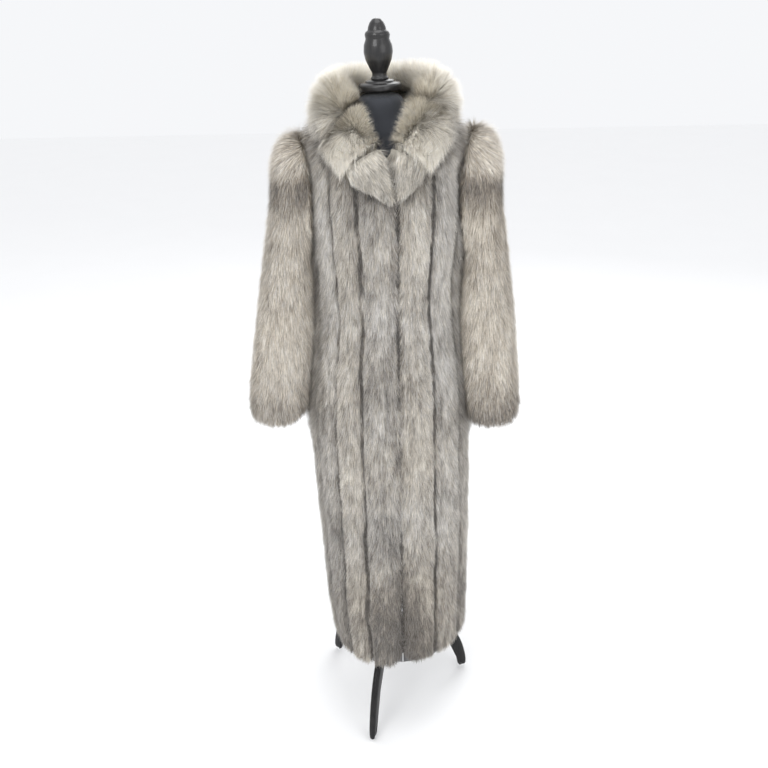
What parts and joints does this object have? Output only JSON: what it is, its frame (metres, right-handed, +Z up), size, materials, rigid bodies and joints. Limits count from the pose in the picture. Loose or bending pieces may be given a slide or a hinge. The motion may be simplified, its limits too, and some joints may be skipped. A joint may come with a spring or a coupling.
{
  "type": "fur coat on a dress form",
  "caption": "Full-length closed fur coat with a big turned-up collar, worn by a black limbless dress form on a pole with three bent legs and a turned finial.",
  "frame": {"origin": "on the floor, at the centre of the footprint of the whole object", "axes": "+Z up, the coat's front faces -Y, +X to the wearer's left"},
  "size_m": [0.6077, 0.4141, 1.6431],
  "materials": {
    "body_fur": "long silver-grey fox fur in vertical pelts, with dark guard hairs along the joins",
    "sleeve_fur": "long cream-grey fox fur with a darker band below the cap",
    "collar_fur": "long dense cream and grey fox fur",
    "lining_satin": "black satin",
    "form_cloth": "charcoal knitted cover",
    "black_wood": "black stained and lacquered wood"
  },
  "bodies": {
    "root": {"front_right": "body_fur", "front_left": "body_fur", "back": "body_fur", "sleeve_right": "sleeve_fur", "sleeve_left": "sleeve_fur", "collar": "collar_fur", "lapel_right": "collar_fur", "lapel_left": "collar_fur", "lining": "lining_satin", "dress_form": "form_cloth", "neck_cap": "black_wood", "finial": "black_wood", "pole": "black_wood", "hub": "black_wood", "leg_front": "black_wood", "leg_left": "black_wood", "leg_right": "black_wood"}
  },
  "joints": []
}
